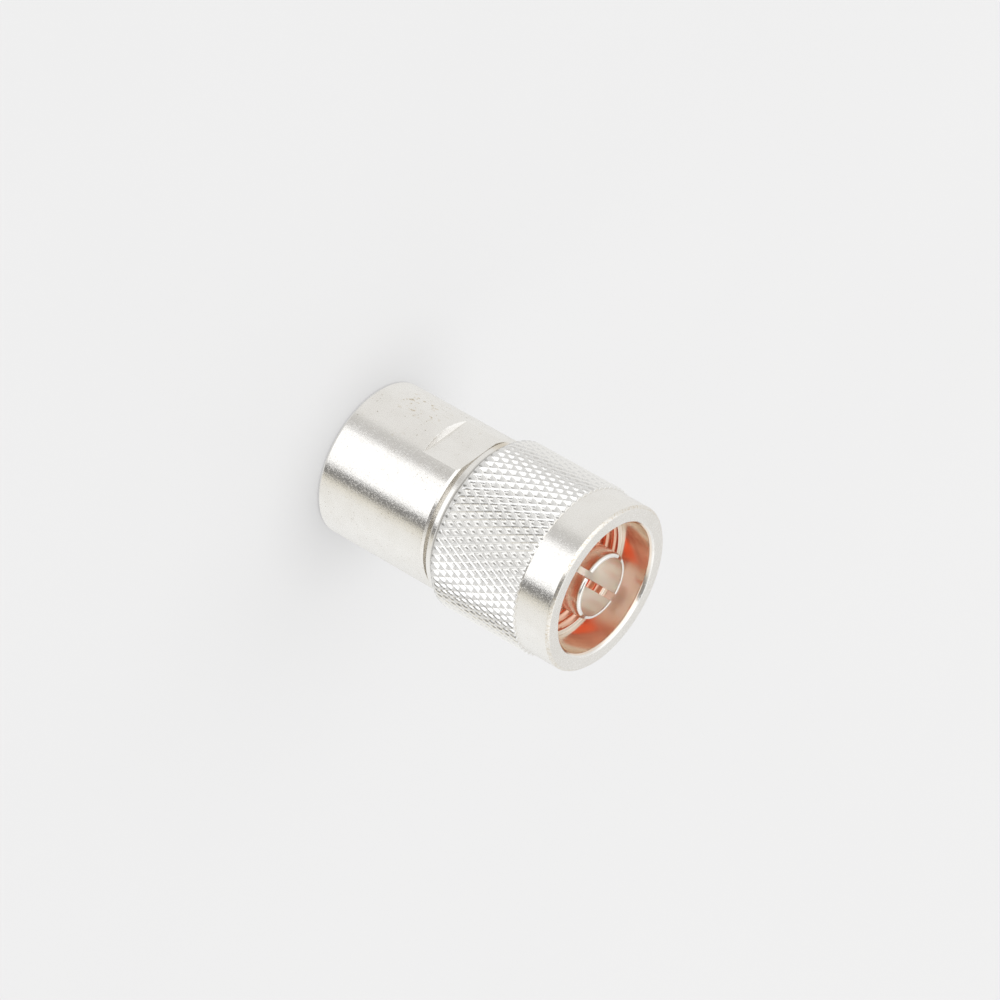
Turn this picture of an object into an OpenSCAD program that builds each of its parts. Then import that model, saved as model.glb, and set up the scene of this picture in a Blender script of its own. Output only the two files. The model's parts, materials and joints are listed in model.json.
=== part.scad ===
// N type coaxial plug for a solder-on cable: a plain rear body with two wrench flats, a slotted
// outer contact, and a knurled coupling nut that spins on the body's barrel.
// The connector's axis is Z. It stands on the body's rear face at z = 0, with the mouth at the top.

/* [Thread of the coupling nut] */
// Bore of the coupling thread at its crests (5/8-24 UNEF)
thread_d = 14.75; // [13.5:0.05:16]
// Length of the coupling thread
thread_len = 6.5; // [4:0.1:9]
// Radial depth of the clear chamber behind the thread, beyond the thread's bore
chamber_relief = 1.0; // [0.8:0.05:1.6]
// Length of the clear chamber behind the thread
chamber_len = 3.8; // [2.6:0.1:6]

/* [Mouth of the coupling nut] */
// Depth of the smooth counterbore in front of the thread
mouth_depth = 4.3; // [2:0.1:7]
// Width of the annular shoulder between the counterbore and the thread
shoulder_w = 0.625; // [0.4:0.025:1.3]
// Chamfer of the mouth's inner edge
mouth_edge = 0.35; // [0.05:0.05:0.5]

/* [Outside of the coupling nut] */
// Gap between the body's front face and the nut's rear face
nut_gap = 0.7; // [0.3:0.05:1.5]
// Length of the smooth land at the nut's rear
land_len = 0.65; // [0.3:0.05:1.2]
// Height of the knurl's crests above the rear land
knurl_stand = 0.9; // [0.7:0.05:1.3]
// Drop from the knurl's crests to the smooth front ring
ring_drop = 0.3; // [0.1:0.05:0.5]
// Length of the smooth front ring
ring_len = 4.6; // [2.5:0.1:6]
// Chamfer of the front ring's outer edge
ring_edge = 0.32; // [0.1:0.02:0.5]

/* [Diamond knurl] */
// Number of ridges round the nut in each of the two crossing sets
knurl_count = 64; // [40:1:72]
// Depth of the pits below the ridges
knurl_depth = 0.45; // [0.2:0.05:0.6]
// Length of one diamond along the axis
knurl_pitch = 1.96; // [1.4:0.02:3.2]
// Length over which the knurl rises from the rear land
knurl_lead = 0.8; // [0.4:0.05:1.4]

/* [Retaining ring] */
// Thickness of the ring along the axis
snap_w = 1.0; // [0.7:0.05:1.4]
// Radial thickness of the ring
snap_t = 1.1; // [0.9:0.05:1.3]
// Width of the ring's split
snap_split = 2.2; // [1:0.1:4]
// How far the ring's groove lies in front of the nut's rear face
snap_setback = 1.35; // [0.9:0.05:2.2]
// Depth of the ring's groove in the barrel
barrel_groove = 0.6; // [0.4:0.05:0.8]
// Wall left between the groove and the nut's rear land
groove_wall = 0.85; // [0.6:0.05:1.2]
// Web left between the groove and the chamber
groove_web = 0.75; // [0.5:0.05:1.2]

/* [Body] */
// Length of the plain rear part of the body
body_len = 15.5; // [12:0.1:24]
// Radial step from the barrel up to the rear part
body_step = 1.55; // [1.2:0.05:2.5]
// Chamfer of the rear part's two outer edges
body_edge = 0.3; // [0.1:0.05:0.5]
// Depth of each wrench flat below the round surface
flat_depth = 0.75; // [0.4:0.05:1.1]
// Length of the wrench flats, up to the body's front face
flat_len = 5.3; // [3:0.1:8]

/* [Cable socket] */
// Bore that takes the cable's outer conductor
conductor_d = 12.4; // [11.4:0.1:14]
// Radial step from the conductor's bore to the jacket's counterbore
jacket_step = 0.8; // [0.4:0.05:1.3]
// Depth of the jacket's counterbore from the rear face
jacket_len = 5; // [2:0.1:6]
// Chamfer that leads into the jacket's counterbore
socket_lead = 0.4; // [0.1:0.05:0.6]

/* [Outer contact] */
// Diameter of the slotted sleeve
contact_d = 8.2; // [7.6:0.05:9]
// Wall of the sleeve
contact_wall = 0.5; // [0.35:0.05:0.7]
// Radial step from the sleeve to the press-in base, which ends at the gasket's front
base_step = 0.4; // [0.2:0.05:0.5]
// Length of the press-in base inside the barrel
base_len = 5.4; // [3.5:0.1:6.5]
// How far the sleeve's rim lies behind the nut's mouth
rim_recess = 0.65; // [0.3:0.05:2]
// Round of the rim's outer edge across the wall
rim_round_w = 0.3; // [0.1:0.02:0.34]
// Round of the rim's outer edge along the axis
rim_round_len = 0.45; // [0.2:0.05:0.7]
// Number of spring slots
slot_count = 4; // [3:1:6]
// Width of each slot
slot_w = 0.9; // [0.5:0.05:1.2]
// Unslotted length of the sleeve in front of the gasket
slot_root = 1.1; // [0.4:0.1:3]
// Turn of the slots from the wrench flats
slot_turn = 37; // [0:1:90]

/* [Insulator] */
// Length of the bead that carries the centre contact
bead_len = 5; // [3:0.1:6]
// Radial step from the contact's base to the bead
bead_step = 0.5; // [0.3:0.05:0.7]
// Length of the bead's nose inside the sleeve
nose_len = 10.5; // [2:0.5:12]
// Hole for the centre contact
bead_hole_d = 3.1; // [2:0.1:4]
// Length of the bead's bore left empty behind the bead
bead_setback = 1; // [0.4:0.1:2]

/* [Gasket] */
// Thickness of the front gasket
gasket_t = 3.3; // [1:0.1:3.6]

/* [Clearances] */
// Radial running clearance between the barrel and the nut
run_clear = 0.05; // [0.02:0.01:0.1]
// Radial clearance between the barrel and the chamber
chamber_clear = 0.425; // [0.3:0.025:0.6]
// Radial clearance inside and outside the retaining ring
snap_clear = 0.15; // [0.1:0.05:0.25]
// Clearance along the axis on each side of the retaining ring
snap_play = 0.15; // [0.1:0.05:0.25]
// Radial clearance between the gasket and the nut's thread
gasket_clear = 0.375; // [0.3:0.025:0.6]
// Radial clearance between the gasket and the contact's base
gasket_bore_clear = 0.15; // [0.05:0.05:0.3]
// Distance from the barrel's front face to the end of the thread
barrel_clear = 0.5; // [0.4:0.05:0.8]
// Radial clearance between the bead's nose and the sleeve
nose_clear = 0.1; // [0.04:0.02:0.3]
// Radial clearance of the pieces pressed into the body
seat_clear = 0.02; // [0.01:0.01:0.05]

/* [Hidden] */
$fn = 96;
cut = 1;         // overshoot of a cutting tool past the surface it cuts
run_past = 0.1;  // how far the front ring's solid reaches back over the knurl's end
sink = 0.3;      // how deep the knurl's skin is rooted in the nut's wall
row_step = 0.1;  // step from the rear land up to the knurl's first row

// Radii, built up outwards from the coupling thread
thread_r = thread_d / 2;
mouth_r = thread_r + shoulder_w;
chamber_r = thread_r + chamber_relief;
barrel_r = chamber_r - chamber_clear;
flange_r = barrel_r + run_clear;
snap_in_r = barrel_r - barrel_groove + snap_clear;
snap_out_r = snap_in_r + snap_t;
nut_groove_r = snap_out_r + snap_clear;
land_r = nut_groove_r + groove_wall;
crest_r = land_r + knurl_stand;
ring_r = crest_r - ring_drop;
body_r = barrel_r + body_step;

// Radii, built up outwards from the sleeve
contact_r = contact_d / 2;
contact_bore_r = contact_r - contact_wall;
base_r = contact_r + base_step;
bead_r = base_r + bead_step;
nose_r = contact_bore_r - nose_clear;
gasket_in_r = base_r + gasket_bore_clear;
gasket_out_r = thread_r - gasket_clear;
conductor_r = conductor_d / 2;
jacket_r = conductor_r + jacket_step;

// Heights, from the rear face up
nut_z = body_len + nut_gap;
groove_z = nut_z + snap_setback;
groove_len = snap_w + 2 * snap_play;
chamber_z = groove_z + groove_len + groove_web;
thread_z = chamber_z + chamber_len;
shoulder_z = thread_z + thread_len;
mouth_z = shoulder_z + mouth_depth;
barrel_z = thread_z - barrel_clear;
knurl_z = nut_z + land_len;
ring_z = mouth_z - ring_len;
base_z = barrel_z - base_len;
bead_z = base_z - bead_len;
conductor_z = bead_z - bead_setback;
rim_z = mouth_z - rim_recess;
gasket_z = barrel_z + gasket_t;
slot_z = gasket_z + slot_root;

// Points of a quarter round that ends at [r, z], w wide and len long, from its outer foot up
function rim_round(r, z, w, len) =
    [for (a = [0:30:90]) [r + w * cos(a), z - len + len * sin(a)]];

// One flat-sided cut on each side of the body
module wrench_flats() {
    for (side = [0, 180])
        rotate([0, 0, side])
            translate([-body_r - cut, -body_r - cut, body_len - flat_len])
                cube([2 * (body_r + cut), flat_depth + cut, flat_len + cut]);
}

// Rear body: the turned housing with its cable socket, and the barrel that carries the nut
module body() {
    color([0.86, 0.85, 0.82])
        difference() {
            rotate_extrude()
                polygon([
                    [jacket_r + socket_lead, 0],
                    [body_r - body_edge, 0],
                    [body_r, body_edge],
                    [body_r, body_len - body_edge],
                    [body_r - body_edge, body_len],
                    [barrel_r, body_len],
                    [barrel_r, groove_z],
                    [barrel_r - barrel_groove, groove_z],
                    [barrel_r - barrel_groove, groove_z + groove_len],
                    [barrel_r, groove_z + groove_len],
                    [barrel_r, barrel_z - body_edge],
                    [barrel_r - body_edge, barrel_z],
                    [base_r + seat_clear, barrel_z],
                    [base_r + seat_clear, base_z],
                    [bead_r + seat_clear, base_z],
                    [bead_r + seat_clear, conductor_z],
                    [conductor_r, conductor_z],
                    [conductor_r, jacket_len],
                    [jacket_r, jacket_len],
                    [jacket_r, socket_lead]
                ]);
            wrench_flats();
        }
}

// Slotted sleeve that grips the mating socket, with its press-in base
module outer_contact() {
    color([0.88, 0.86, 0.82])
        difference() {
            rotate_extrude()
                polygon(concat(
                    [
                        [contact_bore_r, base_z],
                        [base_r, base_z],
                        [base_r, gasket_z],
                        [contact_r, gasket_z]
                    ],
                    rim_round(contact_r - rim_round_w, rim_z, rim_round_w, rim_round_len),
                    [[contact_bore_r, rim_z]]
                ));
            for (i = [0:slot_count - 1])
                rotate([0, 0, slot_turn + i * 360 / slot_count])
                    translate([contact_bore_r / 2, -slot_w / 2, slot_z])
                        cube([contact_r, slot_w, rim_z - slot_z + cut]);
        }
}

// Bead that carries the centre contact on the axis, with a nose inside the sleeve
module insulator() {
    color([0.95, 0.94, 0.90])
        translate([0, 0, bead_z])
            difference() {
                union() {
                    cylinder(r = bead_r, h = bead_len);
                    cylinder(r = nose_r, h = bead_len + nose_len);
                }
                translate([0, 0, -cut])
                    cylinder(d = bead_hole_d, h = bead_len + nose_len + 2 * cut);
            }
}

// Soft ring that the mating socket's rim is pressed against
module gasket() {
    color([0.80, 0.27, 0.15])
        translate([0, 0, barrel_z])
            difference() {
                cylinder(r = gasket_out_r, h = gasket_t);
                translate([0, 0, -cut])
                    cylinder(r = gasket_in_r, h = gasket_t + 2 * cut);
            }
}

// Split ring that holds the nut on the barrel
module retaining_ring() {
    color([0.70, 0.66, 0.55])
        translate([0, 0, groove_z + snap_play])
            difference() {
                cylinder(r = snap_out_r, h = snap_w);
                translate([0, 0, -cut])
                    cylinder(r = snap_in_r, h = snap_w + 2 * cut);
                translate([0, -snap_split / 2, -cut])
                    cube([snap_out_r + cut, snap_split, snap_w + 2 * cut]);
            }
}

// Skin of the diamond knurl: two crossing sets of helical ridges with a four-sided pit in each
// mesh. Every row is half a diamond after the last, and holds crossings and pits by turns.
module knurl_skin() {
    steps = 2 * knurl_count;
    body_rows = max(2, round((ring_z - knurl_z - knurl_lead) / (knurl_pitch / 2)));
    row_h = (ring_z - knurl_z - knurl_lead) / body_rows;
    rows = body_rows + 1;
    root_r = land_r - sink;
    function row_z(j) = j == 0 ? knurl_z : knurl_z + knurl_lead + (j - 1) * row_h;
    function skin_r(i, j) =
        j == 0 ? land_r + row_step : ((i + j) % 2 == 0 ? crest_r : crest_r - knurl_depth);
    function at(r, i, z) = [r * cos(i * 360 / steps), r * sin(i * 360 / steps), z];
    function outer(i, j) = j * steps + i % steps;
    function inner(i, top) = (rows + 1 + top) * steps + i % steps;
    points = concat(
        [for (j = [0:rows]) for (i = [0:steps - 1]) at(skin_r(i, j), i, row_z(j))],
        [for (top = [0, 1]) for (i = [0:steps - 1]) at(root_r, i, row_z(top * rows))]
    );
    // Each four-sided patch is folded along the ridge that crosses it
    skin = [for (j = [0:rows - 1]) for (i = [0:steps - 1])
        each ((i + j) % 2 == 0
            ? [[outer(i, j), outer(i + 1, j + 1), outer(i + 1, j)],
               [outer(i, j), outer(i, j + 1), outer(i + 1, j + 1)]]
            : [[outer(i, j), outer(i, j + 1), outer(i + 1, j)],
               [outer(i + 1, j), outer(i, j + 1), outer(i + 1, j + 1)]])];
    rest = [for (i = [0:steps - 1]) each [
        [inner(i, 0), outer(i, 0), outer(i + 1, 0)],
        [inner(i, 0), outer(i + 1, 0), inner(i + 1, 0)],
        [inner(i, 1), outer(i + 1, rows), outer(i, rows)],
        [inner(i, 1), inner(i + 1, 1), outer(i + 1, rows)],
        [inner(i, 0), inner(i + 1, 0), inner(i + 1, 1)],
        [inner(i, 0), inner(i + 1, 1), inner(i, 1)]
    ]];
    polyhedron(points, concat(skin, rest));
}

// Coupling nut: knurled outside, smooth front ring, counterbored mouth and coupling thread
module coupling_nut() {
    color([0.90, 0.89, 0.86])
        difference() {
            union() {
                translate([0, 0, nut_z])
                    cylinder(r = land_r, h = ring_z - nut_z + run_past);
                rotate_extrude()
                    polygon([
                        [0, ring_z - run_past],
                        [ring_r, ring_z - run_past],
                        [ring_r, mouth_z - ring_edge],
                        [ring_r - ring_edge, mouth_z],
                        [0, mouth_z]
                    ]);
                knurl_skin();
            }
            rotate_extrude()
                polygon([
                    [0, nut_z - cut],
                    [flange_r, nut_z - cut],
                    [flange_r, groove_z],
                    [nut_groove_r, groove_z],
                    [nut_groove_r, groove_z + groove_len],
                    [flange_r, groove_z + groove_len],
                    [flange_r, chamber_z],
                    [chamber_r, chamber_z],
                    [chamber_r, thread_z],
                    [thread_r, thread_z],
                    [thread_r, shoulder_z],
                    [mouth_r, shoulder_z],
                    [mouth_r, mouth_z - mouth_edge],
                    [mouth_r + mouth_edge + cut, mouth_z + cut],
                    [0, mouth_z + cut]
                ]);
        }
}

body();
outer_contact();
insulator();
gasket();
retaining_ring();
coupling_nut();
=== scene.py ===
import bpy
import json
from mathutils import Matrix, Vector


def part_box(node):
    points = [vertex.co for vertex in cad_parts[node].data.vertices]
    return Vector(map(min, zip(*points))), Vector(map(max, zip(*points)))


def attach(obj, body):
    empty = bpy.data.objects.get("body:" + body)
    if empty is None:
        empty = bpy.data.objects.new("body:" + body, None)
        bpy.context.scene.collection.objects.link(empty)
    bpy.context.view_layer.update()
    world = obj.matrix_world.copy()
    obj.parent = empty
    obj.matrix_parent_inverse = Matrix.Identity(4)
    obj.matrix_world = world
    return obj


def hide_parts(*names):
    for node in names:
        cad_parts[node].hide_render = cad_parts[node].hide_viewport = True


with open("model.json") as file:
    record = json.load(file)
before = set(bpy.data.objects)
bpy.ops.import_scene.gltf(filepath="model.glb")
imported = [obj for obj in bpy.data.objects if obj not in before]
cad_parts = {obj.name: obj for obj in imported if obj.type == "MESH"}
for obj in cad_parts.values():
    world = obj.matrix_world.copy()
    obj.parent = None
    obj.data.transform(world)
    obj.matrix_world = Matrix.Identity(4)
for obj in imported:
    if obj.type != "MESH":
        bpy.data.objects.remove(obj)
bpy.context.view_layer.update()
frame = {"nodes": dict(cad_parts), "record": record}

# An N type coaxial plug for a solder-on cable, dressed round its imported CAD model: a silver-plated
# body with two wrench flats, a slotted outer contact, a soft gasket and a knurled coupling nut.
# The plug's axis is Z and it stands on the body's rear face. Blender's objects are in metres, and
# the sizes below are in millimetres until MM turns them into metres.

import json
import math

import bmesh
import bpy
import numpy as np
from mathutils import Matrix, Vector

MM = 0.001

# ------------------------------------------------------------------ sizes that the CAD model gives

mounts = {m["name"]: m["dims"] for m in frame["record"]["mounts"]}


def node_size(node):
    """Outer radius, lowest point and highest point of a CAD node, in millimetres."""
    low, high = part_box(node)
    return round(high.x / MM, 3), round(low.z / MM, 3), round(high.z / MM, 3)


body_r, _, barrel_z = node_size("body")
_, nut_z, mouth_z = node_size("coupling_nut")
gasket_r, gasket_z, gasket_top = node_size("gasket")
bead_r, bead_z, bead_top = node_size("insulator")
base_r, base_z, rim_z = node_size("outer_contact")
thread_r = mounts["coupling_thread"]["r_mm"]
contact_r = mounts["outer_contact"]["r_mm"]
conductor_r = mounts["cable_conductor"]["r_mm"]
jacket_r = mounts["cable_jacket"]["r_mm"]
bead_hole_r = mounts["bead_hole"]["r_mm"]

# ------------------------------------------------------------------ sizes repeated from the source

body_len = 15.5
body_edge = 0.3
flat_half = 8.75       # half the distance across the two flats
flat_z = 10.2
flat_runout = 0.3      # length of the short slope that the cutter leaves at a flat's end
barrel_r = 7.95
barrel_groove_r = 7.35
groove_z, groove_top = 17.55, 18.85
seat_clear = 0.02
conductor_z = 11.5
jacket_len = 5.0
socket_lead = 0.4

flange_r = 8.0
nut_groove_r = 8.75
chamber_r = 8.375
chamber_z = 19.6
thread_z = 23.4
shoulder_z = 29.9
mouth_r = 8.0
land_r = 9.6
knurl_z = 16.85
ring_z = 29.62
ring_r = 10.2
crest_r = 10.5
ring_edge = 0.32
mouth_edge = 0.35

knurl_count = 64
knurl_row = 0.976      # from one row of pits to the next, along the axis
knurl_first = 17.66    # height of the first row of pits
knurl_turn = -54.3     # where the first pit of that row lies round the axis, in degrees
knurl_depth = 0.45
knurl_flat = 0.12      # share of a ridge's height that is cut off flat at its top
knurl_columns = 8      # points from one pit to the next round the nut
knurl_rows = 4         # points from one row of pits to the next

thread_pitch = 25.4 / 24
thread_depth = 0.56
thread_rows = 6        # points along one turn's pitch

sleeve_bore_r = 3.6
gasket_in_r = 4.65
slot_z = 27.3
nose_r = 3.5
slot_w = 0.9
slot_turn = 37.0
slot_count = 4

# ------------------------------------------------------------------ surfaces


def soften(corners, cut=0.06, hold=0.12, steps=6):
    """Rounds the corners of a closed profile. Each corner P becomes the parabola
    (1-s)^2 A + 2s(1-s) P + s^2 B, where A and B lie `cut` away from P along its two sides, and a
    point `hold` further out on each side keeps the flat beyond it flat when it is shaded."""
    here = np.asarray(corners, float)
    cut = np.broadcast_to(np.asarray(cut, float), len(here))[:, None]
    ends = []
    for other in (np.roll(here, 1, 0), np.roll(here, -1, 0)):
        side = other - here
        length = np.linalg.norm(side, axis=1, keepdims=True)
        ends.append((side / length, np.minimum(cut, 0.35 * length), 0.45 * length))
    (back, back_cut, back_half), (on, on_cut, on_half) = ends
    start, stop = here + back * back_cut, here + on * on_cut
    s = np.linspace(0, 1, steps + 1)[None, :, None]
    arc = (1 - s) ** 2 * start[:, None] + 2 * s * (1 - s) * here[:, None] + s**2 * stop[:, None]
    before = here + back * np.minimum(back_cut + hold, back_half)
    after = here + on * np.minimum(on_cut + hold, on_half)
    loop = np.concatenate([before[:, None], arc, after[:, None]], 1).reshape(-1, 2)
    fresh = np.linalg.norm(loop - np.roll(loop, 1, 0), axis=1) > 1e-6
    return loop[fresh]


def mesh_piece(name, points, faces, material, sharp=28.0):
    """A smooth-shaded mesh object from points in millimetres and a list or array of faces. Points
    that coincide are merged, and edges that turn by more than `sharp` degrees stay crisp."""
    mesh = bpy.data.meshes.new(name)
    mesh.from_pydata((np.asarray(points) * MM).tolist(), [], [list(f) for f in faces])
    mesh.validate()
    work = bmesh.new()
    work.from_mesh(mesh)
    bmesh.ops.remove_doubles(work, verts=work.verts, dist=2e-9)
    bmesh.ops.dissolve_degenerate(work, edges=work.edges, dist=2e-9)
    work.to_mesh(mesh)
    work.free()
    mesh.shade_smooth()
    mesh.set_sharp_from_angle(angle=math.radians(sharp))
    mesh.materials.append(material)
    piece = bpy.data.objects.new(name, mesh)
    bpy.context.scene.collection.objects.link(piece)
    return piece


def grid_faces(rows, cols):
    """Quads of a grid that closes on itself both ways, one for each point (i, j), as a
    rows x cols x 4 array."""
    i, j = np.indices((rows, cols))
    down, right = (i + 1) % rows, (j + 1) % cols
    return np.stack([i * cols + j, i * cols + right, down * cols + right, down * cols + j], -1)


def polar(radius, angle, height):
    """Points at a distance from the Z axis, an angle round it and a height, as an n x 3 array."""
    radius, angle, height = np.broadcast_arrays(radius, angle, height)
    return np.stack([radius * np.cos(angle), radius * np.sin(angle), height], -1).reshape(-1, 3)


def turned_ring(name, profile, angle, material, radius=None, ridged=False, **look):
    """A lathe-turned ring: the closed (radius, height) profile carried once round the axis.
    radius(r, angle, z), where it is given, changes the distance from the axis. A ridged ring has
    each four-sided patch folded along the diagonal whose ends stand further out."""
    r, z = profile[:, :1], profile[:, 1:]
    reach = r + 0 * angle if radius is None else radius(r, angle, z)
    faces = grid_faces(len(profile), len(angle)).reshape(-1, 4)
    if ridged:
        high = reach.reshape(-1)[faces]
        first = high[:, 0] + high[:, 2] >= high[:, 1] + high[:, 3]
        faces = np.where(first[:, None, None], faces[:, [[0, 1, 2], [0, 2, 3]]],
                         faces[:, [[1, 2, 3], [1, 3, 0]]]).reshape(-1, 3)
    return mesh_piece(name, polar(reach, angle[None], z), faces, material, **look)


# ------------------------------------------------------------------ materials


class Value:
    """One output or number in a material's nodes. Arithmetic on it adds Math nodes."""

    def __init__(self, paint, socket):
        self.paint, self.socket = paint, socket

    def math(self, operation, *values):
        return self.paint.node("ShaderNodeMath", {"operation": operation}, [self, *values])

    def __add__(self, other):
        return self.math("ADD", other)

    __radd__ = __add__

    def __sub__(self, other):
        return self.math("SUBTRACT", other)

    def __rsub__(self, other):
        return self.paint.node("ShaderNodeMath", {"operation": "SUBTRACT"}, [other, self])

    def __mul__(self, other):
        return self.math("MULTIPLY", other)

    __rmul__ = __mul__

    def __truediv__(self, other):
        return self.math("DIVIDE", other)

    def __rtruediv__(self, other):
        return self.paint.node("ShaderNodeMath", {"operation": "DIVIDE"}, [other, self])

    def __pow__(self, other):
        return self.math("POWER", other)

    def rise(self, low, high):
        """0 up to low, 1 from high on, and a smooth step between them; low may be the higher."""
        return self.paint.node("ShaderNodeMapRange", {"interpolation_type": "SMOOTHSTEP"},
                               {0: self, 1: low, 2: high, 3: 0.0, 4: 1.0})


class Paint:
    """The node tree of one material or world, with short ways to write its nodes."""

    def __init__(self, owner):
        owner.use_nodes = True
        self.tree = owner.node_tree
        self.tree.nodes.clear()

    def node(self, kind, settings=None, values=(), output=0):
        """Adds a node of a type, applies its settings, then gives its sockets values or links."""
        made = self.tree.nodes.new(kind)
        for key, setting in (settings or {}).items():
            if key == "stops":
                ramp = made.color_ramp
                while len(ramp.elements) > 1:
                    ramp.elements.remove(ramp.elements[-1])
                for n, (place, colour) in enumerate(setting):
                    stop = ramp.elements[0] if n == 0 else ramp.elements.new(place)
                    stop.position, stop.color = place, (*colour, 1.0)
            else:
                setattr(made, key, setting)
        pairs = values.items() if isinstance(values, dict) else enumerate(values)
        for socket, value in pairs:
            if isinstance(value, Value):
                self.tree.links.new(value.socket, made.inputs[socket])
            else:
                made.inputs[socket].default_value = value
        return Value(self, made.outputs[output]) if len(made.outputs) else None

    def place(self):
        """The point of the piece that is shaded, in millimetres: (vector, x, y, z)."""
        spot = self.node("ShaderNodeTexCoord", output="Object")
        spot = self.node("ShaderNodeVectorMath", {"operation": "SCALE"}, {0: spot, "Scale": 1 / MM})
        return spot, *self.parts(spot)

    def parts(self, vector):
        return [self.node("ShaderNodeSeparateXYZ", values=[vector], output=n) for n in range(3)]

    def vector(self, x, y, z):
        return self.node("ShaderNodeCombineXYZ", values=[x, y, z])

    def noise(self, spot, scale, detail=2.0, rough=0.5):
        """Soft noise between 0 and 1, with about `scale` blotches to the millimetre."""
        return self.node("ShaderNodeTexNoise", values={
            "Vector": spot, "Scale": scale, "Detail": detail, "Roughness": rough})

    def blend(self, share, first, second):
        """Colour that goes from the first to the second as share goes from 0 to 1."""
        def whole(colour):
            return colour if isinstance(colour, Value) else (*colour, 1.0)
        return self.node("ShaderNodeMix", {"data_type": "RGBA"},
                         {0: share, 6: whole(first), 7: whole(second)}, output=2)

    def bump(self, height, depth_mm):
        """Normal for a height between 0 and 1 that stands for depth_mm of relief."""
        return self.node("ShaderNodeBump", values={
            "Strength": 1.0, "Distance": depth_mm * MM, "Height": height})

    def surface(self, values):
        """Ends the tree in one shader with these socket values or links."""
        shader = self.node("ShaderNodeBsdfPrincipled", values=values)
        self.node("ShaderNodeOutputMaterial", values={"Surface": shader})


def material(name):
    """A new material and the Paint that writes its nodes."""
    made = bpy.data.materials.new(name)
    return made, Paint(made)


# Plate, from clean to tarnished, and what lies on it, with a painted highlight, painted shade and
# painted warm light of the gasket mixed in
SILVER = (0.91, 0.897, 0.872)
# Lighter silver for the knurl: a painted highlight standing in for its bright ridges
SILVER_PAINTED_HIGHLIGHT = (0.955, 0.953, 0.945)
SILVER_SHADE = (0.80, 0.775, 0.735)
TARNISH = (0.62, 0.52, 0.36)
# Warm tints for the nut's mouth and thread: painted warm light, the gasket's orange glow reflected
# there
NUT_PAINTED_WARM_LIGHT = (0.90, 0.78, 0.66)
NUT_PAINTED_ORANGE_LIGHT = (0.85, 0.52, 0.38)
OLIVE = (0.30, 0.26, 0.17)
# Dark grey for the knurl's pits: painted shade
PAINTED_PIT_SHADE = (0.28, 0.27, 0.25)
SLEEVE_SHADE = (0.86, 0.80, 0.73)
# Warm tints for the sleeve's outside and bore: painted warm light from the gasket's orange glow
SLEEVE_PAINTED_WARM_LIGHT = (0.95, 0.80, 0.70)
SLEEVE_BORE_PAINTED_WARM_LIGHT = (0.90, 0.84, 0.78)


def body_silver():
    """Satin silver plate on the turned body: rough flecks of grain, faint turning lines, small
    stains, a patch of brown marks low on one side, and a little tarnish on the front shoulder."""
    made, paint = material("Silver_plate_body")
    spot, x, y, z = paint.place()
    radius = (x * x + y * y) ** 0.5
    shoulder = z.rise(body_len - 0.06, body_len - 0.01) * radius.rise(body_r - 0.05, body_r - 0.35)
    runout = (radius.rise(body_r - 0.01, body_r - 0.05) * z.rise(flat_z - 0.02, flat_z + 0.02)
              * z.rise(flat_z + flat_runout + 0.06, flat_z + flat_runout))
    handled = (x * -0.28 + y * -0.96).rise(8.8, 9.3) * z.rise(2.4, 3.4) * z.rise(9.6, 8.8)
    cloud = paint.noise(spot, 0.35, 3.0, 0.55)
    grain = paint.noise(spot, 4.2, 3.0, 0.62)
    fine = paint.noise(spot, 11.0, 2.0, 0.6)
    lines = paint.noise(paint.vector(x * 0.5, y * 0.5, z * 9.0), 1.0, 2.0, 0.6)
    rings = paint.noise(paint.vector(radius * 14.0, x * 0.35, y * 0.35), 1.0, 2.0, 0.6)
    stain = paint.noise(spot, 1.1, 4.0, 0.7).rise(0.60, 0.78)
    fleck = paint.noise(spot, 3.4, 2.0, 0.5).rise(0.66, 0.74) * cloud.rise(0.46, 0.58)
    marks = paint.noise(paint.vector(x * 1.9, y * 1.9, z * 1.2), 1.0, 4.0, 0.72)
    sand = grain.rise(0.51, 0.62) * (1 - runout)

    colour = paint.blend(cloud.rise(0.35, 0.75) * 0.35, SILVER, SILVER_SHADE)
    colour = paint.blend(stain * 0.30, colour, TARNISH)
    colour = paint.blend(fleck * 0.55, colour, OLIVE)
    colour = paint.blend(marks.rise(0.57, 0.63) * handled * 0.55, colour, TARNISH)
    colour = paint.blend(marks.rise(0.64, 0.68) * handled * 0.6, colour, OLIVE)
    colour = paint.blend(shoulder * (0.03 + 0.15 * rings.rise(0.35, 0.7)), colour, TARNISH)
    paint.surface({
        "Base Color": colour,
        "Metallic": 1.0,
        "Roughness": 0.13 + 0.04 * cloud + 0.15 * sand + 0.04 * stain,
        "Normal": paint.bump((grain * 0.7 + fine * 0.4) * (1 - 0.8 * runout) + lines * 0.1
                             + rings * shoulder, 0.012),
    })
    return made


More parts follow.
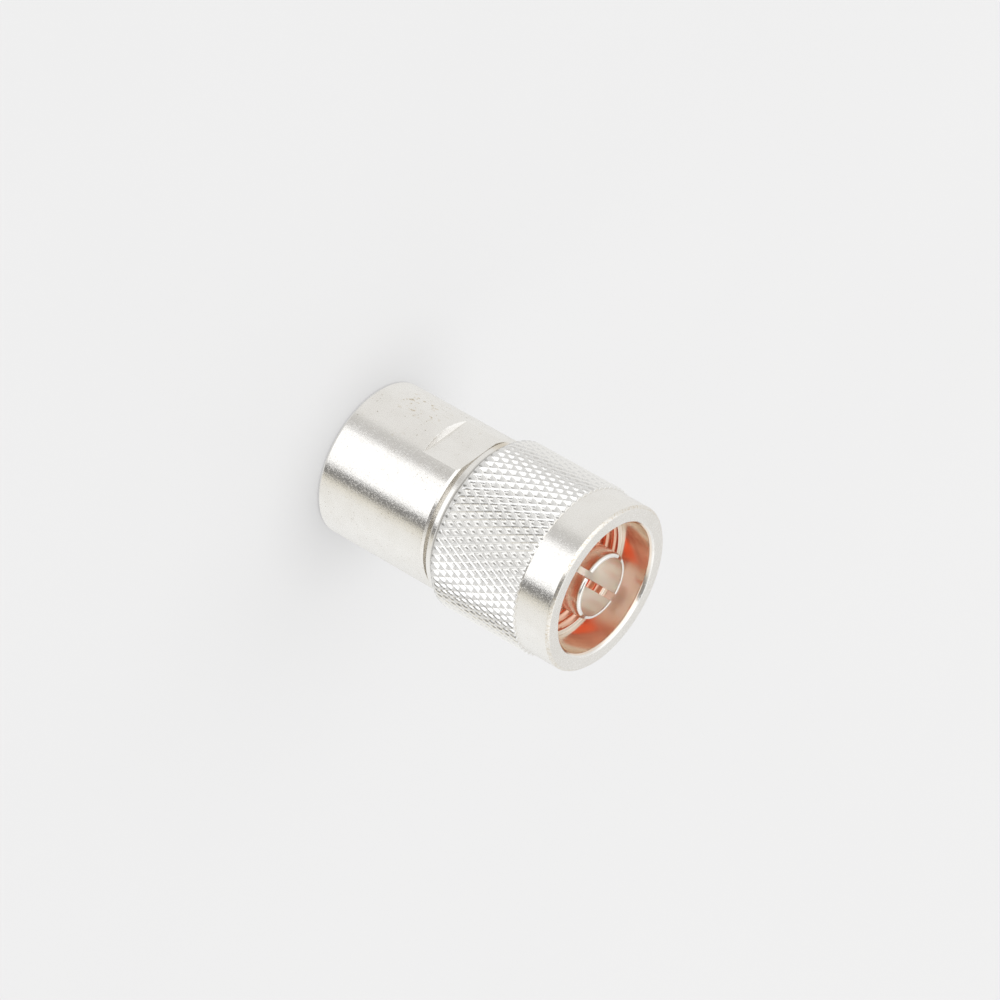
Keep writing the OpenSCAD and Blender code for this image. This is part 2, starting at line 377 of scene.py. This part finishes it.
def nut_silver():
    """Silver plate on the coupling nut: grain on the ring; lighter silver on the knurl as a painted
    highlight of its ridges, and painted shade in its pits; a dark line on the front edge that is
    partly wear and partly painted shade;
    a stain on the rear corner; and smooth plate inside the mouth and on the thread, warmed by
    painted orange light."""
    made, paint = material("Silver_plate_nut")
    spot, x, y, z = paint.place()
    radius = (x * x + y * y) ** 0.5
    inside = radius.rise(mouth_r + 0.25, mouth_r + 0.1)
    knurled = z.rise(knurl_z, knurl_z + 0.3) * z.rise(ring_z + 0.02, ring_z - 0.02) * (1 - inside)
    # The pits below the crests, where painted shade goes
    pit = knurled * radius.rise(crest_r - 0.26, crest_r - 0.42)
    front = z.rise(mouth_z - 0.05, mouth_z - 0.01)
    # The front chamfer's dark line: partly speckled wear, partly painted shade along the chamfer
    edge_wear_and_painted_shade = (radius.rise(ring_r - ring_edge - 0.06, ring_r - ring_edge)
            * z.rise(mouth_z - ring_edge - 0.04, mouth_z - ring_edge + 0.06))
    corner = (x * -0.26 + y * -0.966).rise(9.42, 9.62) * z.rise(17.6, 16.8)
    step = (z.rise(shoulder_z - 0.10, shoulder_z - 0.04)
            * z.rise(shoulder_z + 0.10, shoulder_z + 0.04))
    # The inside of the mouth and, below the shoulder, the thread, which get painted warm light
    mouth_bore = inside * z.rise(chamber_z - 0.5, chamber_z)
    threaded = mouth_bore * z.rise(shoulder_z - 0.05, shoulder_z - 0.2)
    cloud = paint.noise(spot, 0.4, 3.0, 0.55)
    grain = paint.noise(spot, 4.6, 3.0, 0.62)
    fine = paint.noise(spot, 11.0, 2.0, 0.6)
    rings = paint.noise(paint.vector(radius * 12.0, x * 0.3, y * 0.3), 1.0, 2.0, 0.6)
    stain = paint.noise(spot, 1.0, 4.0, 0.7).rise(0.62, 0.80)

    colour = paint.blend(cloud.rise(0.35, 0.75) * 0.30, SILVER, SILVER_SHADE)
    colour = paint.blend(stain * 0.22 * (1 - inside), colour, TARNISH)
    # Painted highlight: the knurl gets lighter silver for its bright ridges
    colour = paint.blend(knurled * 0.85, colour, SILVER_PAINTED_HIGHLIGHT)
    # Painted shade: the knurl's pits turn dark grey
    colour = paint.blend(pit * (0.45 + 0.5 * cloud), colour, PAINTED_PIT_SHADE)
    # Painted shade along the front chamfer, with speckled wear in it
    colour = paint.blend(edge_wear_and_painted_shade * (0.1 + 0.6 * grain.rise(0.45, 0.7)), colour, TARNISH)
    colour = paint.blend(corner * (0.2 + 0.6 * cloud), colour, TARNISH)
    # Painted warm light: the gasket's orange glow inside the mouth, stronger on the thread
    colour = paint.blend(mouth_bore * (1 - step) * (0.75 + 0.25 * cloud), colour, NUT_PAINTED_WARM_LIGHT)
    colour = paint.blend(threaded * (0.8 + 0.2 * cloud), colour, NUT_PAINTED_ORANGE_LIGHT)
    rough = 0.13 + 0.04 * cloud + 0.15 * grain.rise(0.51, 0.62) + 0.04 * stain
    paint.surface({
        "Base Color": colour,
        "Metallic": 1.0,
        "Roughness": rough * (1 - inside) + 0.17 * inside + 0.12 * threaded,
        "Normal": paint.bump((grain * 0.7 + fine * 0.4) * (1 - 0.87 * inside)
                             + rings * front * 0.4, 0.012),
    })
    return made


def contact_silver():
    """Smooth silver plate on the spring sleeve: bright at the rim, and down its outside and in its
    bore a warm tint of painted light, the gasket's orange glow, with fine turning lines round it."""
    made, paint = material("Silver_plate_contact")
    spot, x, y, z = paint.place()
    radius = (x * x + y * y) ** 0.5
    inside = (radius.rise(sleeve_bore_r + 0.15, sleeve_bore_r + 0.05)
              * z.rise(rim_z - 0.05, rim_z - 0.15))
    outside = z.rise(rim_z - 0.2, rim_z - 0.8) * (1 - inside)
    cloud = paint.noise(spot, 0.7, 3.0, 0.55)
    grain = paint.noise(spot, 6.0, 2.0, 0.5)
    lines = paint.noise(paint.vector(x * 0.4, y * 0.4, z * 12.0), 1.0, 2.0, 0.6)

    colour = paint.blend(cloud.rise(0.35, 0.75) * 0.35, SILVER, SLEEVE_SHADE)
    # Painted warm light: the gasket's orange glow, down the outside and in the bore
    colour = paint.blend(outside, colour, SLEEVE_PAINTED_WARM_LIGHT)
    colour = paint.blend(inside, colour, SLEEVE_BORE_PAINTED_WARM_LIGHT)
    paint.surface({
        "Base Color": colour,
        "Metallic": 1.0,
        "Roughness": 0.15 + 0.08 * cloud + 0.12 * inside,
        "Normal": paint.bump(lines * 0.6 + grain * 0.4, 0.005),
    })
    return made


def bronze():
    """Plain spring bronze of the hidden retaining ring, with drawn lines round it."""
    made, paint = material("Spring_bronze")
    spot, x, y, z = paint.place()
    lines = paint.noise(paint.vector(x * 0.4, y * 0.4, z * 14.0), 1.0, 2.0, 0.6)
    cloud = paint.noise(spot, 0.8, 3.0, 0.55)
    paint.surface({
        "Base Color": paint.blend(cloud.rise(0.3, 0.7), (0.72, 0.60, 0.40), (0.55, 0.42, 0.25)),
        "Metallic": 1.0,
        "Roughness": 0.28 + 0.12 * lines,
        "Normal": paint.bump(lines, 0.006),
    })
    return made


def silicone():
    """Soft orange-red silicone: a matt moulded skin with a faint bloom of dust."""
    made, paint = material("Silicone_gasket")
    spot, *_ = paint.place()
    skin = paint.noise(spot, 9.0, 3.0, 0.6)
    cloud = paint.noise(spot, 0.9, 3.0, 0.55)
    colour = paint.blend(cloud.rise(0.35, 0.7), (0.78, 0.125, 0.04), (0.68, 0.10, 0.035))
    paint.surface({
        "Base Color": paint.blend(skin.rise(0.62, 0.8) * 0.12, colour, (0.86, 0.45, 0.34)),
        "Roughness": 0.46 + 0.14 * skin,
        "Normal": paint.bump(skin, 0.012),
    })
    return made


def fluoropolymer():
    """Waxy white fluoropolymer of the bead, with soft cloudy patches and faint turning lines."""
    made, paint = material("Fluoropolymer_bead")
    spot, x, y, z = paint.place()
    radius = (x * x + y * y) ** 0.5
    cloud = paint.noise(spot, 0.9, 3.0, 0.55)
    rings = paint.noise(paint.vector(radius * 10.0, x * 0.3, y * 0.3), 1.0, 2.0, 0.6)
    paint.surface({
        "Base Color": paint.blend(cloud.rise(0.3, 0.7), (0.86, 0.85, 0.81), (0.79, 0.77, 0.71)),
        "Roughness": 0.38 + 0.12 * cloud,
        "Normal": paint.bump(rings, 0.010),
        "Subsurface Weight": 0.15,
        "Subsurface Scale": 0.4 * MM,
    })
    return made


# ------------------------------------------------------------------ pieces


def make_body(finish):
    """The turned body: outside, shoulder, barrel with its groove, seats, and the cable's socket.
    On the two flats the distance from the axis is at most flat_half / |sin angle|, and the
    cutter's run-out at their end is a short ramp."""
    corners = [
        (jacket_r + socket_lead, 0), (body_r - body_edge, 0), (body_r, body_edge),
        (body_r, flat_z), (body_r, flat_z + flat_runout / 3),
        (body_r, flat_z + 2 * flat_runout / 3), (body_r, flat_z + flat_runout),
        (body_r, body_len - body_edge), (body_r - body_edge, body_len),
        (barrel_r, body_len), (barrel_r, groove_z), (barrel_groove_r, groove_z),
        (barrel_groove_r, groove_top), (barrel_r, groove_top),
        (barrel_r, barrel_z - body_edge), (barrel_r - body_edge, barrel_z),
        (base_r + seat_clear, barrel_z), (base_r + seat_clear, base_z),
        (bead_r + seat_clear, base_z), (bead_r + seat_clear, conductor_z),
        (conductor_r, conductor_z), (conductor_r, jacket_len),
        (jacket_r, jacket_len), (jacket_r, socket_lead),
    ]
    cut = np.full(len(corners), 0.05)
    cut[3:7] = 0.0      # the rows of the run-out lie in one line
    cut[9:14] = 0.03
    across_flat, between = 93, 91      # points over one flat, and from there to the next
    edge = math.degrees(math.asin(flat_half / body_r))
    side = np.concatenate([np.linspace(edge, 180 - edge, across_flat),
                           np.linspace(180 - edge, 180 + edge, between)[1:-1]])
    turn = np.concatenate([side, side + 180])

    def with_flats(r, angle, z):
        ramp = np.clip((flat_z + flat_runout - z) / flat_runout, 0, 1)
        half = flat_half + (body_r - flat_half) * ramp
        chord_r = half / np.maximum(np.abs(np.sin(angle)), 0.1)
        on_flat = (z > flat_z - 1e-6) & (z <= body_len)
        return np.where(on_flat, np.minimum(r, chord_r), r + 0 * angle)

    return turned_ring("Turned_body", soften(corners, cut), np.radians(turn), finish,
                       radius=with_flats, sharp=20.0)


def knurl_height(angle, z):
    """Height between 0 and 1 of the diamond knurl. Two helical coordinates u and v count the
    ridges of the two crossing sets; each set is a triangle wave whose tops are cut flat, and the
    higher one wins, so each mesh is a four-sided pit."""
    along = (z - knurl_first) / (2 * knurl_row)
    round_it = (np.degrees(angle) - knurl_turn) * knurl_count / 360
    u, v = round_it + along, round_it - along
    far = 2 * np.minimum(np.abs(u % 1 - 0.5), np.abs(v % 1 - 0.5))
    return np.minimum((1 - far) / (1 - knurl_flat), 1)


def thread_height(angle, z):
    """Depth between 0 and 1 of the right-hand thread's groove: a triangle wave of height less the
    turn's share of the pitch, flat along its crests, that fades out at both ends."""
    crest = 0.3                     # how far the wave runs below 0, where its crests are flat
    run_in, run_out = 0.3, 0.5      # heights over which it begins and ends
    phase = (z / thread_pitch - angle / (2 * np.pi)) % 1.0
    wave = np.clip((0.5 - np.abs(phase - 0.5)) * 2 * (1 + crest) - crest, 0, 1)
    ends = np.clip((z - thread_z) / run_out, 0, 1) * np.clip((shoulder_z - z) / run_in, 0, 1)
    return wave * ends


def make_nut(finish):
    """The coupling nut: rear land, 45 degree lead, diamond knurl, plain front ring, counterbored
    mouth, thread, chamber and the retaining ring's groove, as one closed surface. The smooth
    profile gets close rows where the knurl and the thread are, and reach() shapes them."""
    step = 0.02                 # half the height of the steep face from the knurl to the ring
    corners = [
        (flange_r, nut_z), (land_r, nut_z), (land_r, knurl_z),
        (ring_r, ring_z + step), (ring_r, mouth_z - ring_edge), (ring_r - ring_edge, mouth_z),
        (mouth_r + mouth_edge, mouth_z), (mouth_r, mouth_z - mouth_edge),
        (mouth_r, shoulder_z), (thread_r, shoulder_z), (thread_r, thread_z),
        (chamber_r, thread_z), (chamber_r, chamber_z), (flange_r, chamber_z),
        (flange_r, groove_top), (nut_groove_r, groove_top), (nut_groove_r, groove_z),
        (flange_r, groove_z),
    ]
    cut = np.full(len(corners), 0.05)
    cut[[2, 3]] = 0.0
    loop = soften(corners, cut, steps=2)
    row = knurl_row / knurl_rows
    rows = knurl_first + row * np.arange(math.ceil((knurl_z + 0.06 - knurl_first) / row),
                                         math.ceil((ring_z - 0.05 - knurl_first) / row))
    turns = np.arange(shoulder_z - 0.12, thread_z + 0.12, -thread_pitch / thread_rows)
    on_knurl = 2 * crest_r      # marks the rows whose distance from the axis is the knurl's

    def splice(loop, low_r, high_r, low, high, radius, heights):
        """The profile with what lies between two radii and two heights swapped for new rows."""
        r, z = loop.T
        out = (r > low_r) & (r < high_r) & (z > low) & (z < high)
        at = np.flatnonzero(out)[0]
        new = np.stack([np.full(len(heights), radius), heights], 1)
        return np.concatenate([loop[:at][~out[:at]], new, loop[at:][~out[at:]]])

    loop = splice(loop, land_r - 0.5, crest_r, knurl_z + 0.01, ring_z + step / 2, on_knurl,
                  np.append(rows, ring_z - step))
    loop = splice(loop, thread_r - 0.01, thread_r + 0.01, thread_z + 0.1, shoulder_z - 0.1,
                  thread_r, turns)

    def reach(r, angle, z):
        knurl = crest_r - knurl_depth * (1 - knurl_height(angle, z))
        lead = land_r + (z - knurl_z)
        thread = np.where((r < thread_r + 0.05) & (z < shoulder_z) & (z > thread_z),
                          thread_depth * thread_height(angle, z), 0)
        return np.where(r == on_knurl, np.minimum(knurl, lead), r + thread)

    columns = knurl_columns * knurl_count
    angle = np.radians(knurl_turn) + np.arange(columns) * 2 * np.pi / columns
    return turned_ring("Coupling_nut", loop, angle, finish, radius=reach, ridged=True, sharp=50.0)


def make_sleeve(finish):
    """The slotted spring sleeve and its press-in base. The profile is carried round the axis; over
    a slot its part above the slot's root is left out, and the slot's sides are flat faces at
    asin(half the slot's width / radius) from the slot's middle."""
    nose_width, nose_height, lip = 0.3, 0.45, 0.07
    low = soften([(sleeve_bore_r, base_z), (base_r, base_z), (base_r, gasket_top),
                  (contact_r, gasket_top), (contact_r, slot_z), (sleeve_bore_r, slot_z)],
                 [0.04, 0.04, 0.08, 0.0, 0.0, 0.0])

    def foot(radius):
        """Which point of the lower profile lies at this radius and at the slot's root."""
        return int(np.flatnonzero(np.abs(low - (radius, slot_z)).max(1) < 1e-9)[0])

    turn = np.linspace(0, np.pi / 2, 7)
    nose = np.stack([contact_r - nose_width * (1 - np.cos(turn)),
                     rim_z - nose_height * (1 - np.sin(turn))], 1)
    inner_edge = [(sleeve_bore_r + lip, rim_z), (sleeve_bore_r + 0.02, rim_z - 0.02),
                  (sleeve_bore_r, rim_z - lip)]
    wall = [slot_z + 0.1, 28.0, 31.0]      # heights of the rows on both faces of the wall
    wall_out = [(contact_r, z) for z in (*wall, rim_z - 0.65)]
    wall_in = [(sleeve_bore_r, z) for z in (rim_z - 0.25, *wall[::-1])]
    outer_foot = foot(contact_r)
    finger = np.concatenate([wall_out, nose, inner_edge, wall_in])
    loop = np.concatenate([low[:outer_foot + 1], finger, low[foot(sleeve_bore_r):]])
    inner_foot = outer_foot + 1 + len(finger)

    per_finger, per_slot = 36, 4      # steps round a finger and across a slot
    share = np.concatenate([np.arange(per_finger) / per_finger, np.zeros(per_slot)])
    across = np.concatenate([np.zeros(per_finger), np.arange(per_slot) / per_slot])
    in_slot = np.tile(np.arange(per_finger + per_slot) >= per_finger, slot_count)
    apart = 2 * np.pi / slot_count
    first = np.radians(slot_turn) + apart * np.repeat(np.arange(slot_count),
                                                      per_finger + per_slot)
    share, across = np.tile(share, slot_count)[None], np.tile(across, slot_count)[None]
    half = np.arcsin(slot_w / 2 / loop[:, :1])
    angle = np.where(in_slot[None], first + apart - half + 2 * half * across,
                     first + half + (apart - 2 * half) * share)
    points = polar(loop[:, :1], angle, loop[:, 1:])
    rows, cols = angle.shape
    quads = grid_faces(rows, cols)
    upper = (np.arange(rows) >= outer_foot) & (np.arange(rows) < inner_foot)
    kept = quads[~(upper[:, None] & in_slot[None])]
    j = np.flatnonzero(in_slot)
    root = np.stack([outer_foot * cols + j, outer_foot * cols + (j + 1) % cols,
                     inner_foot * cols + (j + 1) % cols, inner_foot * cols + j], -1)
    section = np.arange(outer_foot, inner_foot + 1) * cols
    starts = np.arange(slot_count) * (per_finger + per_slot)
    sides = [(section + s).tolist() for s in starts] \
        + [(section + s + per_finger)[::-1].tolist() for s in starts]
    return mesh_piece("Slotted_sleeve", points, kept.tolist() + root.tolist() + sides, finish)


def plain_ring(name, corners, cut, finish):
    """A ring whose section is a polygon with rounded corners."""
    return turned_ring(name, soften(corners, cut, 0.15), np.radians(np.arange(0, 360, 2.5)), finish)


# Each piece, the body that it rides on, the CAD node that it stands for, and its finish's slot
pieces = [
    (make_body(body_silver()), "plug_body", "body", "silver_plate"),
    (make_sleeve(contact_silver()), "plug_body", "outer_contact", "contact_plate"),
    (plain_ring("Insulating_bead", [
        (bead_hole_r, bead_z), (bead_r, bead_z), (bead_r, base_z), (nose_r, base_z),
        (nose_r, bead_top), (bead_hole_r, bead_top)], 0.12, fluoropolymer()),
     "plug_body", "insulator", "bead_plastic"),
    (plain_ring("Mouth_gasket", [
        (gasket_in_r, gasket_z), (gasket_r, gasket_z), (gasket_r, gasket_top),
        (gasket_in_r, gasket_top)], 0.18, silicone()),
     "plug_body", "gasket", "gasket_rubber"),
    (make_nut(nut_silver()), "nut", "coupling_nut", "silver_plate"),
]
for piece, rides_on, node, slot in pieces:
    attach(piece, rides_on)
    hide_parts(node)

# The hidden retaining ring keeps its CAD shape
ring_finish = bronze()
for holder in frame["nodes"]["retaining_ring"].material_slots:
    holder.material = ring_finish

# ------------------------------------------------------------------ camera

# The camera looks at AIM from DISTANCE away, along a line that AZIMUTH and ELEVATION give, and is
# rolled so that the standing plug lies aslant in the picture
AIM = Vector((-2.048, -1.977, 17.046)) * MM
AZIMUTH, ELEVATION, ROLL = math.radians(43.4), math.radians(28.76), math.radians(119.4)
DISTANCE = 0.5585

lens = bpy.data.cameras.new("Camera")
lens.lens, lens.sensor_width = 180.0, 36.0
lens.clip_start, lens.clip_end = 0.01, 50.0
camera = bpy.data.objects.new("Camera", lens)
bpy.context.scene.collection.objects.link(camera)
back = Vector((math.sin(AZIMUTH) * math.cos(ELEVATION), -math.cos(AZIMUTH) * math.cos(ELEVATION),
               math.sin(ELEVATION)))
turned = (-back).to_track_quat("-Z", "Y").to_matrix() @ Matrix.Rotation(ROLL, 3, "Z")
camera.matrix_world = Matrix.Translation(AIM + back * DISTANCE) @ turned.to_4x4()
bpy.context.scene.camera = camera

bpy.context.scene.view_settings.view_transform = "Standard"
# Light turns round many times between the sleeve and the nut before it leaves the mouth
bpy.context.scene.cycles.max_bounces = 24
bpy.context.scene.cycles.glossy_bounces = 24

# ------------------------------------------------------------------ floor and light

FLOOR_HALF = 6.0
FLOOR_Z = -0.02 * MM
FLOOR, FLOOR_SHADE = (0.27, 0.27, 0.27), (0.28, 0.28, 0.28)
floor_mesh = bpy.data.meshes.new("Floor")
floor_mesh.from_pydata([(x * FLOOR_HALF, y * FLOOR_HALF, FLOOR_Z)
                        for x, y in ((-1, -1), (1, -1), (1, 1), (-1, 1))], [], [(0, 1, 2, 3)])
floor = bpy.data.objects.new("Floor", floor_mesh)
bpy.context.scene.collection.objects.link(floor)
made, paint = material("Pale_floor")
spot, *_ = paint.place()
# A part of the floor's tone is its own glow, which keeps the plug's shadow on it faint
paint.surface({
    "Base Color": paint.blend(paint.noise(spot, 0.02, 3.0, 0.5), FLOOR, FLOOR_SHADE),
    "Emission Color": (0.375, 0.375, 0.378, 1.0),
    "Emission Strength": 1.0,
    "Roughness": 0.45,
    "Specular IOR Level": 0.2,
})
floor_mesh.materials.append(made)
# The metal sees the studio's light below the horizon too, as from a pale table
floor.visible_glossy = False
floor.visible_shadow = False

# The studio's tones by direction round the axis, in degrees from X towards Y. The metal sees
# WALLS at the level of the plug: a broad white soft box, a narrow dark flag beside it, and pale
# grey walls. It sees ROOF higher up, where the flag is wider, and BENCH steeply below. The camera
# sees BACKDROP past the floor's edge.
WALLS = [
    (-180, (0.86, 0.855, 0.84)), (-92, (0.84, 0.83, 0.81)), (-84, (0.60, 0.59, 0.57)),
    (-68, (0.62, 0.61, 0.60)), (-64, (1.25, 1.25, 1.25)), (-11, (1.25, 1.25, 1.25)),
    (-8, (0.21, 0.205, 0.20)), (5, (0.22, 0.215, 0.21)), (10, (0.80, 0.76, 0.66)),
    (24, (0.89, 0.88, 0.85)), (60, (0.95, 0.95, 0.94)), (100, (0.88, 0.88, 0.87)),
    (125, (0.78, 0.77, 0.75)), (180, (0.86, 0.855, 0.84)),
]
ROOF = [
    (-180, (1.10, 1.10, 1.10)), (-60, (1.40, 1.40, 1.40)), (-36, (1.40, 1.40, 1.40)),
    (-28, (0.30, 0.29, 0.28)), (8, (0.30, 0.29, 0.28)), (20, (0.85, 0.83, 0.78)),
    (60, (1.20, 1.20, 1.20)), (180, (1.10, 1.10, 1.10)),
]
BENCH = (0.72, 0.715, 0.705)
BACKDROP = (0.855, 0.855, 0.855)

world = bpy.data.worlds.new("Studio")
bpy.context.scene.world = world
paint = Paint(world)
x, y, z = paint.parts(paint.node("ShaderNodeTexCoord", output="Generated"))
share = y.math("ARCTAN2", x) / (2 * math.pi) + 0.5
walls, roof = (paint.node("ShaderNodeValToRGB", {
    "stops": [((degrees + 180) / 360, colour) for degrees, colour in tones]}, [share])
    for tones in (WALLS, ROOF))
studio = paint.blend(z.rise(-0.60, -0.75), walls, BENCH)
studio = paint.blend(z.rise(0.56, 0.70), studio, roof)
seen = paint.node("ShaderNodeLightPath", output="Is Camera Ray")
sky = paint.blend(seen, studio, BACKDROP)
glow = paint.node("ShaderNodeBackground", values=[sky, 1.0])
paint.node("ShaderNodeOutputWorld", values=[glow])


def soft_lamp(name, strength, spread, toward):
    """A sun lamp that shines from a direction, with its spread in degrees. The metal doesn't
    mirror it."""
    data = bpy.data.lights.new(name, "SUN")
    data.energy, data.angle = strength, math.radians(spread)
    lamp = bpy.data.objects.new(name, data)
    bpy.context.scene.collection.objects.link(lamp)
    lamp.rotation_euler = toward.to_track_quat("Z", "Y").to_euler()
    lamp.visible_glossy = False


KEY_HEIGHT = 0.9      # angle of the key lamp above the floor, in radians
soft_lamp("Soft_key", 0.45, 60, Vector((-0.6 * math.cos(KEY_HEIGHT), -0.8 * math.cos(KEY_HEIGHT),
                                        math.sin(KEY_HEIGHT))))
soft_lamp("Soft_top", 2.0, 30, Vector((0, 0, 1)))

# ------------------------------------------------------------------ end

bpy.context.view_layer.update()
